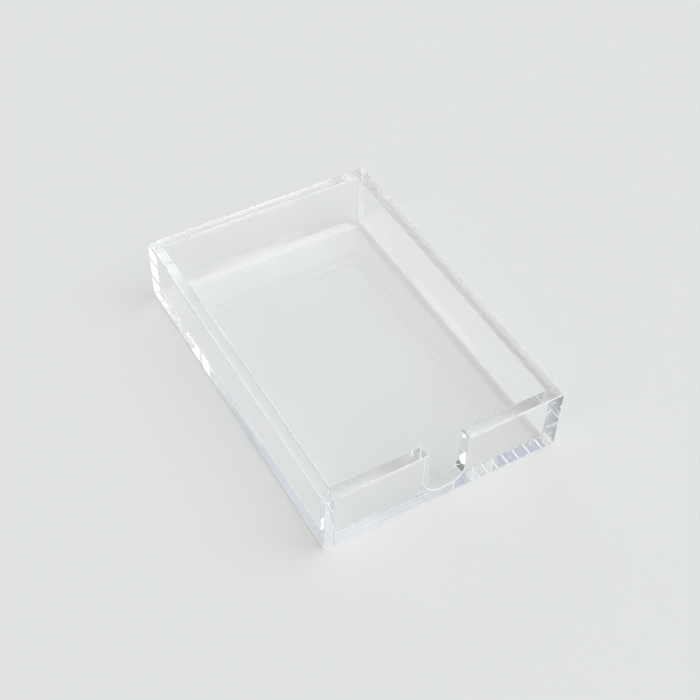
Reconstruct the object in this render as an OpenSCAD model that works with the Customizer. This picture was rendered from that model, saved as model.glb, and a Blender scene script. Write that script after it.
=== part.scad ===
// Open napkin tray of clear cast acrylic sheet.
// Four wall panels are mitred at the corners round an inset base panel, and all are solvent welded.
// The front panel has a U-shaped finger notch that reaches down to the level of the base.
// The origin is the centre of the underside, +Z is up and -Y faces the notched front.

/* [Tray] */
// Outer width across the two side panels
tray_w = 156; // [120:1:240]
// Outer length from the notched front to the back
tray_l = 228; // [160:1:320]
// Outer height of the wall panels
tray_h = 44; // [32:1:90]

/* [Acrylic sheet] */
// Thickness of the wall panels
wall_t = 8; // [5:0.5:12]
// Thickness of the base panel
base_t = 8; // [4:0.5:12]

/* [Polished edges] */
// Width of the eased strip along every open edge
edge_ease = 0.6; // [0.2:0.1:1.2]
// Set-back of the eased strip on the outer upright corners
corner_ease = 1; // [0.4:0.1:2]

/* [Finger notch] */
// Width between the flanks of the notch
notch_w = 26; // [22:1:60]
// Radius of the two lower corners of the notch
notch_r = 10.5; // [4:0.5:13]
// Rise of the notch's lowest point above the base panel's top face
notch_rise = 0; // [0:0.5:10]

/* [Hidden] */
$fn = 64;

// Overrun of each cut past the faces that it leaves
cut_over = 1;

// Clear sheet with the faint blue of its polished edges
clear_acrylic = [0.90, 0.94, 0.97, 0.5];

// Well between the walls, which the base panel fills at the foot
well_w = tray_w - 2 * wall_t;
well_l = tray_l - 2 * wall_t;

// Lowest point of the notch, and the axes of its lower corners
notch_floor = base_t + notch_rise;
notch_corner_r = min(notch_r, notch_w / 2);
notch_axis_x = notch_w / 2 - notch_corner_r;
notch_axis_z = notch_floor + notch_corner_r;

// How far an eased cut has widened where it ends outside the panel
flare = edge_ease + cut_over;

// Section across a wall, outer face at x = 0, eased along both top edges and the outer foot
module wall_section() {
  polygon([
    [edge_ease, 0],
    [wall_t, 0],
    [wall_t, tray_h - edge_ease],
    [wall_t - edge_ease, tray_h],
    [edge_ease, tray_h],
    [0, tray_h - edge_ease],
    [0, edge_ease]
  ]);
}

// Plan of a wall, outer face at y = 0, with 45 degree mitres whose sharp tips are eased off
module wall_plan(len) {
  half = len / 2;
  tip = corner_ease / 2;
  polygon([
    [-half + corner_ease, 0],
    [half - corner_ease, 0],
    [half - tip, tip],
    [half - wall_t, wall_t],
    [-half + wall_t, wall_t],
    [-half + tip, tip]
  ]);
}

// Wall panel centred on x = 0, standing on z = 0, from its outer face at y = 0 to y = wall_t
module wall_panel(len) {
  intersection() {
    linear_extrude(height = tray_h)
      wall_plan(len);
    translate([-len / 2, 0, 0])
      rotate([90, 0, 90])
        linear_extrude(height = len)
          wall_section();
  }
}

// Face of the notch as seen from the front, open at the top
module notch_outline() {
  translate([-notch_w / 2, notch_axis_z])
    square([notch_w, tray_h + cut_over - notch_axis_z]);
  translate([-notch_axis_x, notch_floor])
    square([2 * notch_axis_x, notch_corner_r + cut_over]);
  for (side = [-1, 1])
    translate([side * notch_axis_x, notch_axis_z])
      circle(r = notch_corner_r);
}

// Eased strip round the notch on the face at y = 0: flanks, lower corners and floor
module notch_face_ease() {
  translate([0, 0, notch_axis_z])
    linear_extrude(height = tray_h + cut_over - notch_axis_z)
      polygon([
        [-notch_w / 2, edge_ease],
        [-notch_w / 2 - flare, -cut_over],
        [notch_w / 2 + flare, -cut_over],
        [notch_w / 2, edge_ease]
      ]);
  for (side = [-1, 1])
    translate([side * notch_axis_x, edge_ease, notch_axis_z])
      rotate([90, 0, 0])
        cylinder(h = flare, r1 = notch_corner_r, r2 = notch_corner_r + flare);
  translate([-notch_axis_x, 0, 0])
    rotate([90, 0, 90])
      linear_extrude(height = 2 * notch_axis_x)
        polygon([
          [edge_ease, notch_floor],
          [edge_ease, notch_axis_z],
          [-cut_over, notch_axis_z],
          [-cut_over, notch_floor - flare]
        ]);
}

// Eased corners where the two flanks of the notch meet the top edge
module notch_top_ease() {
  translate([0, wall_t + cut_over, 0])
    rotate([90, 0, 0])
      linear_extrude(height = wall_t + 2 * cut_over)
        polygon([
          [-notch_w / 2, tray_h - edge_ease],
          [notch_w / 2, tray_h - edge_ease],
          [notch_w / 2 + flare, tray_h + cut_over],
          [-notch_w / 2 - flare, tray_h + cut_over]
        ]);
}

// The whole cut through the front panel, in the frame of wall_panel
module finger_notch() {
  translate([0, wall_t + cut_over, 0])
    rotate([90, 0, 0])
      linear_extrude(height = wall_t + 2 * cut_over)
        notch_outline();
  notch_face_ease();
  translate([0, wall_t, 0])
    mirror([0, 1, 0])
      notch_face_ease();
  notch_top_ease();
}

// Floor of the tray, set between the walls with its underside flush with theirs
module base_panel() {
  color(clear_acrylic)
    translate([-well_w / 2, -well_l / 2, 0])
      cube([well_w, well_l, base_t]);
}

// Front wall with the finger notch in its middle
module front_panel() {
  color(clear_acrylic)
    translate([0, -tray_l / 2, 0])
      difference() {
        wall_panel(tray_w);
        finger_notch();
      }
}

// Plain back wall
module back_panel() {
  color(clear_acrylic)
    translate([0, tray_l / 2, 0])
      rotate([0, 0, 180])
        wall_panel(tray_w);
}

// Long wall on the left, seen from the front
module left_panel() {
  color(clear_acrylic)
    translate([-tray_w / 2, 0, 0])
      rotate([0, 0, -90])
        wall_panel(tray_l);
}

// Long wall on the right, seen from the front
module right_panel() {
  color(clear_acrylic)
    translate([tray_w / 2, 0, 0])
      rotate([0, 0, 90])
        wall_panel(tray_l);
}

base_panel();
front_panel();
back_panel();
left_panel();
right_panel();
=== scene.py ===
import math

import bmesh
import bpy
from mathutils import Matrix, Vector


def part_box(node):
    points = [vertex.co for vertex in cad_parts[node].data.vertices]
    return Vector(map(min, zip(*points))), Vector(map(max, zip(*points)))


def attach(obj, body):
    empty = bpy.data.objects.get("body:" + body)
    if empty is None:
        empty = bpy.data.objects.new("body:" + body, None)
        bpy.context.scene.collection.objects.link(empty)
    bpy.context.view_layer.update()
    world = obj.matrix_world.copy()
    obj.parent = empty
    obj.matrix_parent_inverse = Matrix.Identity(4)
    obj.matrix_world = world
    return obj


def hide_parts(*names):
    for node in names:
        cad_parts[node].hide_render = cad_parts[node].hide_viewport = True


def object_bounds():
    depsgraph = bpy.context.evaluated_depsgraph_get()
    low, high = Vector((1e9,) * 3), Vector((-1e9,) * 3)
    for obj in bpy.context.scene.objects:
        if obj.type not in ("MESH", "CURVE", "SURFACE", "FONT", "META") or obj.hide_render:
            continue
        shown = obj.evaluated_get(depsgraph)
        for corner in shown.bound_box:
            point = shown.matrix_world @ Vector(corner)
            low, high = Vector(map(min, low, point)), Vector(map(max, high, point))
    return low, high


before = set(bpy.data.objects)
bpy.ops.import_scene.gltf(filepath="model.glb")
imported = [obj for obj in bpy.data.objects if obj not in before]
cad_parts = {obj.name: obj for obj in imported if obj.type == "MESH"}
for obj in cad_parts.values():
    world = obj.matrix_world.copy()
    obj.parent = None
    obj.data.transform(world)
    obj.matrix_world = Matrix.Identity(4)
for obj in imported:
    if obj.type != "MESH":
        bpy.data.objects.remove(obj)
cad_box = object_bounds()


# Base panel: a flat rectangle of clear cast acrylic sheet, sawn and milled square on its edges.
# It is set between the four walls with its underside flush with theirs, and solvent welded
# to them all round, so its edges are seen through and only a fine line marks the joint.
MM = 0.001
ACRYLIC_IOR = 1.49
ACRYLIC_TINT = (0.992, 0.992, 0.99, 1.0)
HAZE_PATCH = 25.0 * MM
SCRAPED_WHITE = (0.86, 0.87, 0.88, 1.0)
LIT_THROUGH_WHITE = (0.97, 0.975, 0.98, 1.0)
SCRAPER_CHATTER = 2.0 * MM


def clear_acrylic(name, wave_mm, wave_height_mm, haze_low, haze_high):
    """Clear cast acrylic with slight waves, sized along, across and up the panel, and faint haze."""
    mat = bpy.data.materials.new(name)
    mat.use_nodes = True
    nodes, links = mat.node_tree.nodes, mat.node_tree.links
    shader = nodes["Principled BSDF"]
    shader.inputs["Transmission Weight"].default_value = 1.0
    shader.inputs["IOR"].default_value = ACRYLIC_IOR
    shader.inputs["Base Color"].default_value = ACRYLIC_TINT
    place = nodes.new("ShaderNodeTexCoord")
    haze = nodes.new("ShaderNodeTexNoise")
    haze.inputs["Scale"].default_value = 1.0 / HAZE_PATCH
    haze.inputs["Detail"].default_value = 4.0
    spread = nodes.new("ShaderNodeMapRange")
    spread.inputs["From Min"].default_value = 0.45
    spread.inputs["From Max"].default_value = 0.75
    spread.inputs["To Min"].default_value = haze_low
    spread.inputs["To Max"].default_value = haze_high
    stretch = nodes.new("ShaderNodeMapping")
    stretch.inputs["Scale"].default_value = [1.0 / (length * MM) for length in wave_mm]
    wave = nodes.new("ShaderNodeTexNoise")
    wave.inputs["Scale"].default_value = 1.0
    wave.inputs["Detail"].default_value = 1.0
    bump = nodes.new("ShaderNodeBump")
    bump.inputs["Strength"].default_value = 1.0
    bump.inputs["Distance"].default_value = wave_height_mm * MM
    links.new(place.outputs["Object"], haze.inputs["Vector"])
    links.new(haze.outputs["Fac"], spread.inputs["Value"])
    links.new(spread.outputs["Result"], shader.inputs["Roughness"])
    links.new(place.outputs["Object"], stretch.inputs["Vector"])
    links.new(stretch.outputs["Vector"], wave.inputs["Vector"])
    links.new(wave.outputs["Fac"], bump.inputs["Height"])
    links.new(bump.outputs["Normal"], shader.inputs["Normal"])
    return mat


def welded_joint(name):
    """Two faces dissolved into each other by solvent: light passes straight through."""
    mat = bpy.data.materials.new(name)
    mat.use_nodes = True
    nodes, links = mat.node_tree.nodes, mat.node_tree.links
    nodes.remove(nodes["Principled BSDF"])
    clear = nodes.new("ShaderNodeBsdfTransparent")
    links.new(clear.outputs["BSDF"], nodes["Material Output"].inputs["Surface"])
    return mat


def scraped_arris(name):
    """A sharp edge scraped off: a frosted line, dull white outside and lit through from inside."""
    mat = bpy.data.materials.new(name)
    mat.use_nodes = True
    nodes, links = mat.node_tree.nodes, mat.node_tree.links
    dull = nodes["Principled BSDF"]
    dull.inputs["Base Color"].default_value = SCRAPED_WHITE
    lit_through = nodes.new("ShaderNodeBsdfTranslucent")
    lit_through.inputs["Color"].default_value = LIT_THROUGH_WHITE
    place = nodes.new("ShaderNodeTexCoord")
    chatter = nodes.new("ShaderNodeTexNoise")
    chatter.inputs["Scale"].default_value = 1.0 / SCRAPER_CHATTER
    spread = nodes.new("ShaderNodeMapRange")
    spread.inputs["To Min"].default_value = 0.3
    spread.inputs["To Max"].default_value = 0.6
    side = nodes.new("ShaderNodeNewGeometry")
    both = nodes.new("ShaderNodeMixShader")
    links.new(place.outputs["Object"], chatter.inputs["Vector"])
    links.new(chatter.outputs["Fac"], spread.inputs["Value"])
    links.new(spread.outputs["Result"], dull.inputs["Roughness"])
    links.new(side.outputs["Backfacing"], both.inputs["Fac"])
    links.new(dull.outputs["BSDF"], both.inputs[1])
    links.new(lit_through.outputs["BSDF"], both.inputs[2])
    links.new(both.outputs["Shader"], nodes["Material Output"].inputs["Surface"])
    return mat


sheet_face = clear_acrylic("acrylic_sheet_face", (60.0, 60.0, 60.0), 0.0003, 0.0, 0.004)
buffed_edge = clear_acrylic("acrylic_buffed_edge", (45.0, 1.2, 45.0), 0.00008, 0.0, 0.004)
routed_edge = clear_acrylic("acrylic_routed_edge", (45.0, 0.8, 45.0), 0.0004, 0.0, 0.006)
weld = welded_joint("acrylic_weld")
arris = scraped_arris("acrylic_scraped_arris")
FACE, EDGE, ROUTED, WELD, ARRIS = range(5)
WELD_GAP = 0.01 * MM
FLAT_AREA = 30.0 * MM * MM


def is_flat(face):
    """A broad flat face, whose normal has to stay true for light to bend as in real sheet."""
    return face.material_index != ARRIS and face.calc_area() > FLAT_AREA


def add_panel(name, bm, node, place=Matrix()):
    """Turns the mesh into the piece for its node, with crisp flat faces and smooth curved strips."""
    bm.normal_update()
    for face in bm.faces:
        face.smooth = True
    for edge in bm.edges:
        one_finish = len({face.material_index for face in edge.link_faces}) == 1
        edge.smooth = one_finish and not any(is_flat(face) for face in edge.link_faces)
    mesh = bpy.data.meshes.new(name)
    bm.to_mesh(mesh)
    bm.free()
    for mat in (sheet_face, buffed_edge, routed_edge, weld, arris):
        mesh.materials.append(mat)
    piece = bpy.data.objects.new(name, mesh)
    bpy.context.scene.collection.objects.link(piece)
    piece.matrix_world = place
    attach(piece, "root")
    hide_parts(node)
    return piece


def skin(bm, rings, side_finish, end_finish):
    """Joins a row of rings of points with faces, closes both ends and returns the last end face."""
    loops = [[bm.verts.new(point) for point in ring] for ring in rings]
    count = len(loops[0])
    for level, (lower, upper) in enumerate(zip(loops, loops[1:])):
        for side in range(count):
            after = (side + 1) % count
            face = bm.faces.new((lower[side], lower[after], upper[after], upper[side]))
            face.material_index = side_finish(level, side)
    first = bm.faces.new(loops[0][::-1])
    last = bm.faces.new(loops[-1])
    first.material_index = end_finish
    last.material_index = end_finish
    return last


base_low, base_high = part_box("base_panel")
base_arris = 0.02 * MM


def base_ring(height, draw_in):
    """Outline of the base at a height, drawn in from its full size."""
    x = base_high.x - WELD_GAP - draw_in
    y = base_high.y - WELD_GAP - draw_in
    return [(-x, -y, height), (x, -y, height), (x, y, height), (-x, y, height)]


base_mesh = bmesh.new()
base_rings = [
    base_ring(base_low.z, base_arris),
    base_ring(base_low.z + base_arris, 0.0),
    base_ring(base_high.z - base_arris, 0.0),
    base_ring(base_high.z, base_arris),
]
skin(base_mesh, base_rings, lambda level, side: WELD if level == 1 else ARRIS, FACE)
add_panel("floor_sheet", base_mesh, "base_panel")


# Side and back walls: strips of the same sheet, mitred at 45 degrees on both ends and solvent welded
# to each other and to the base. The broad edges are polished clear, the foot round its outer arris
# too. The other sharp arrises and the upright corners of the welded box are taken off with a scraper.
tray_half_w = cad_box[1][0]
tray_half_l = cad_box[1][1]
wall_h = cad_box[1][2]
wall_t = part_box("left_panel")[1].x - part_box("left_panel")[0].x
edge_round = 0.6 * MM
corner_round = 0.7 * MM
seam_groove = 0.15 * MM
ROUND_STEPS = 4
TOUCH = 0.001 * MM


def set_back(depth):
    """How far the open edges of a wall are drawn in at a depth below its outer face."""
    from_face = min(depth, wall_t - depth)
    if from_face >= edge_round:
        return 0.0
    return edge_round - math.sqrt(edge_round ** 2 - (edge_round - from_face) ** 2)


def wall_depths():
    """Depths at which a wall changes section: both rounded arrises and the rounded upright corner."""
    turns = [0.5 * math.pi * k / ROUND_STEPS for k in range(ROUND_STEPS + 1)]
    arris_depths = [edge_round * (1 - math.cos(a)) for a in turns]
    corner_depths = [corner_round * (1 - math.cos(a / 2)) for a in turns]
    inner_depths = [wall_t - depth for depth in arris_depths + [seam_groove]]
    return sorted(set(arris_depths + corner_depths + inner_depths))


def wall_end(half_length, depth):
    """Where a wall ends at a depth: on the corner's round, on the mitre, then on the inner seam."""
    on_mitre = half_length - depth - WELD_GAP - max(0.0, depth - wall_t + seam_groove)
    reach = math.sqrt(max(0.0, corner_round ** 2 - (corner_round - depth) ** 2))
    on_round = half_length - corner_round + reach
    return min(on_mitre, on_round) if depth < corner_round / 2 else on_mitre


def wall_ring(half_length, depth, top_points):
    """Outline of a wall at a depth, with a fine groove where the mitre meets the top."""
    back = set_back(depth)
    end = wall_end(half_length, depth)
    foot = back if depth < wall_t / 2 else 0.0
    top = wall_h - back
    outline = [(end, foot), (-end, foot), (-end, top - seam_groove), (-end + seam_groove, top)]
    outline += top_points(back)
    outline += [(end - seam_groove, top), (end, top - seam_groove)]
    if depth > wall_t / 2:
        outline = outline[:2] + [(x, max(z, base_high.z)) for x, z in outline[2:]]
    return [(x, depth, z) for x, z in outline]


def plain_top(back):
    """The top of a wall without a notch is straight from end to end."""
    return []


def add_wall(name, node, half_length, half_width, along, inward, top_points=plain_top):
    """A wall in its own frame: x along it, y inward from its outer face and z up."""
    bm = bmesh.new()
    depths = wall_depths()
    rings = [wall_ring(half_length, depth, top_points) for depth in depths]
    # Sides of a ring in their order: foot, mitre, seam groove, top with any notch, seam groove, mitre
    side_count = len(rings[0])
    mitres = (1, side_count - 1)
    seams = (2, side_count - 2)
    cut_sides = range(4, side_count - 4)
    corner_depth = corner_round * (1 - math.cos(math.pi / 4))
    weld_top = base_high.z - base_arris

    def finish(level, side):
        """Finish of one side of the wall between two of its rings."""
        if side in mitres:
            welded = corner_depth - TOUCH < depths[level] < wall_t - seam_groove - TOUCH
            return WELD if welded else ARRIS
        if side == 0:
            return EDGE
        if side in seams or depths[level] < edge_round - TOUCH:
            return ARRIS
        if depths[level] < wall_t - edge_round - TOUCH:
            return ROUTED if side in cut_sides else EDGE
        return ARRIS

    inner_face = skin(bm, rings, finish, FACE)
    around = [inner_face] + list(inner_face.edges) + list(inner_face.verts)
    bmesh.ops.bisect_plane(bm, geom=around, plane_co=(0, 0, weld_top), plane_no=(0, 0, 1))
    for face in bm.faces:
        inside = all(vert.co.y > wall_t - TOUCH for vert in face.verts)
        if inside and all(vert.co.z < weld_top + TOUCH for vert in face.verts):
            face.material_index = WELD
        elif all(abs(vert.co.z - base_high.z) < TOUCH for vert in face.verts):
            face.material_index = ROUTED
    turn = Matrix((along, inward, (0, 0, 1))).transposed().to_4x4()
    place = Matrix.Translation(Vector(inward) * -half_width) @ turn
    return add_panel(name, bm, node, place)


add_wall("left_wall", "left_panel", tray_half_l, tray_half_w, (0, -1, 0), (1, 0, 0))
add_wall("right_wall", "right_panel", tray_half_l, tray_half_w, (0, 1, 0), (-1, 0, 0))
add_wall("back_wall", "back_panel", tray_half_w, tray_half_l, (-1, 0, 0), (0, -1, 0))


# Front wall: a strip like the back one, with a U-shaped finger notch routed down to the level of
# the base, so that the last napkin can be lifted out. The routed edge is polished and its arrises
# are scraped.
notch_half_w = 13.0 * MM
notch_radius = 10.5 * MM
notch_lip = 1.0 * MM
LIP_STEPS = 5
NOTCH_STEPS = 24


def arc(centre_x, centre_z, radius, start, end, steps):
    """Points along part of a circle in the plane of the wall, angles in degrees from +x towards +z."""
    turns = [math.radians(start + (end - start) * k / steps) for k in range(steps + 1)]
    return [(centre_x + radius * math.cos(a), centre_z + radius * math.sin(a)) for a in turns]


def notched_top(back):
    """From left to right: lip, flank, round corner, short flat, round corner, flank and lip."""
    lip_x = notch_half_w + notch_lip
    lip_z = wall_h - notch_lip
    axis_x = notch_half_w - notch_radius
    axis_z = base_high.z + notch_radius
    points = arc(-lip_x, lip_z, notch_lip - back, 90, 0, LIP_STEPS)
    points += arc(-axis_x, axis_z, notch_radius + back, 180, 270, NOTCH_STEPS)
    points += arc(axis_x, axis_z, notch_radius + back, 270, 360, NOTCH_STEPS)
    points += arc(lip_x, lip_z, notch_lip - back, 180, 90, LIP_STEPS)
    return points


add_wall("front_wall", "front_panel", tray_half_w, tray_half_l, (1, 0, 0), (0, 1, 0), notched_top)


# Studio: a plain pale painted table top, with a hair of air left between it and the acrylic, and a
# soft surround of a dim ceiling, a pale band round the horizon and round panels of light. Clear
# acrylic is seen by what it bends and mirrors, so the panels stand where its edges look.
floor_size = 30.0
floor_drop = 0.2 * MM
floor_colour = (0.805, 0.81, 0.79, 1.0)
floor_mesh = bpy.data.meshes.new("table_top")
floor_corners = [
    (-floor_size, -floor_size, -floor_drop),
    (floor_size, -floor_size, -floor_drop),
    (floor_size, floor_size, -floor_drop),
    (-floor_size, floor_size, -floor_drop),
]
floor_mesh.from_pydata(floor_corners, [], [(0, 1, 2, 3)])
floor = bpy.data.objects.new("table_top", floor_mesh)
bpy.context.scene.collection.objects.link(floor)
floor_paint = bpy.data.materials.new("table_top_paint")
floor_paint.use_nodes = True
paint = floor_paint.node_tree.nodes["Principled BSDF"]
paint.inputs["Base Color"].default_value = floor_colour
paint.inputs["Roughness"].default_value = 0.6
floor_mesh.materials.append(floor_paint)

world = bpy.data.worlds.new("studio")
bpy.context.scene.world = world
world.use_nodes = True
nodes, links = world.node_tree.nodes, world.node_tree.links
look = nodes.new("ShaderNodeTexCoord").outputs["Generated"]


def aim(azimuth, elevation):
    """Unit vector towards an azimuth, from +x towards +y, and a height above the table, in degrees."""
    a, e = math.radians(azimuth), math.radians(elevation)
    return Vector((math.cos(e) * math.cos(a), math.cos(e) * math.sin(a), math.sin(e)))


def add_light(total, share, colour):
    """Adds a colour, as far as its share goes, to the light so far or to a plain first colour."""
    add = nodes.new("ShaderNodeVectorMath")
    add.operation = "MULTIPLY_ADD"
    links.new(share, add.inputs[0])
    add.inputs[1].default_value = colour
    if isinstance(total, tuple):
        add.inputs[2].default_value = total
    else:
        links.new(total, add.inputs[2])
    return add.outputs["Vector"]


def soft_step(value, low, high):
    """Rises smoothly from 0 to 1 as a value goes from low to high."""
    step = nodes.new("ShaderNodeMapRange")
    step.interpolation_type = "SMOOTHSTEP"
    step.inputs["From Min"].default_value = low
    step.inputs["From Max"].default_value = high
    links.new(value, step.inputs["Value"])
    return step.outputs["Result"]


def soft_panel(total, azimuth, elevation, full, gone, colour):
    """A round panel of light, even out to one angle from its middle and faded away at another."""
    facing = nodes.new("ShaderNodeVectorMath")
    facing.operation = "DOT_PRODUCT"
    links.new(look, facing.inputs[0])
    facing.inputs[1].default_value = aim(azimuth, elevation)
    cos_gone = math.cos(math.radians(gone))
    cos_full = math.cos(math.radians(full))
    share = soft_step(facing.outputs["Value"], cos_gone, cos_full)
    return add_light(total, share, colour)


ceiling_colour = (0.30, 0.30, 0.27)
horizon_colour = (0.59, 0.60, 0.66)
horizon_full = math.sin(math.radians(5))
horizon_gone = math.sin(math.radians(40))
height = nodes.new("ShaderNodeSeparateXYZ")
links.new(look, height.inputs["Vector"])
horizon = soft_step(height.outputs["Z"], horizon_gone, horizon_full)
light = add_light(ceiling_colour, horizon, horizon_colour)
# A wide window on the right: its front part, its cool main part, and a skylight above it
light = soft_panel(light, azimuth=320, elevation=40, full=19, gone=22, colour=(0.94, 0.93, 0.97))
light = soft_panel(light, azimuth=351, elevation=48, full=26, gone=29, colour=(0.98, 1.07, 1.26))
light = soft_panel(light, azimuth=351, elevation=70, full=18, gone=22, colour=(0.65, 0.64, 0.60))
# A large soft panel in front, with a small one low beside it
light = soft_panel(light, azimuth=270, elevation=45, full=22, gone=25, colour=(1.06, 1.03, 1.06))
light = soft_panel(light, azimuth=297, elevation=30, full=7, gone=15, colour=(0.54, 0.55, 0.68))
# A warm panel on the left
light = soft_panel(light, azimuth=200, elevation=35, full=12, gone=20, colour=(1.16, 1.05, 1.07))
# A pale wall behind, brightest towards the right, with a small panel high on it
light = soft_panel(light, azimuth=57, elevation=33, full=3, gone=20, colour=(0.58, 0.60, 0.64))
light = soft_panel(light, azimuth=80, elevation=38, full=2, gone=31, colour=(0.30, 0.36, 0.44))
light = soft_panel(light, azimuth=54, elevation=53, full=4, gone=8, colour=(0.23, 0.24, 0.28))
# Two small panels behind on the left, one warm and one cool, which colour the ends of the front wall
light = soft_panel(light, azimuth=120, elevation=44, full=6, gone=8, colour=(0.61, 0.49, 0.42))
light = soft_panel(light, azimuth=119, elevation=50, full=10, gone=11, colour=(0.23, 0.28, 0.40))
links.new(light, nodes["Background"].inputs["Color"])


# Camera: looks down on the tray from its front left through a long lens, a little tilted. Its place
# was solved from the outer and inner edges of the tray. Light crosses and is mirrored in many faces
# of the acrylic before it leaves, so its paths may be long, and none is blurred on the way.
camera_data = bpy.data.cameras.new("camera")
camera_data.sensor_width = 36.0
camera_data.lens = 66.07
camera_data.clip_start = 0.01
camera = bpy.data.objects.new("camera", camera_data)
bpy.context.scene.collection.objects.link(camera)
azimuth = math.radians(-31.0783)
elevation = math.radians(47.6223)
roll = math.radians(1.6563)
look_at = Vector((8.838 * MM, 8.622 * MM, 0.0))
distance = 807.293 * MM
backward = Vector((
    math.sin(azimuth) * math.cos(elevation),
    -math.cos(azimuth) * math.cos(elevation),
    math.sin(elevation),
))
level = Vector((0, 0, 1)).cross(backward).normalized()
upward = backward.cross(level)
right = math.cos(roll) * level + math.sin(roll) * upward
up = math.cos(roll) * upward - math.sin(roll) * level
turn = Matrix((right, up, backward)).transposed().to_4x4()
camera.matrix_world = Matrix.Translation(look_at + backward * distance) @ turn

scene = bpy.context.scene
scene.camera = camera
scene.view_settings.view_transform = "Standard"
scene.cycles.blur_glossy = 0.0
longest_path = 48
scene.cycles.max_bounces = longest_path
scene.cycles.transmission_bounces = longest_path
scene.cycles.glossy_bounces = longest_path
scene.cycles.transparent_max_bounces = longest_path
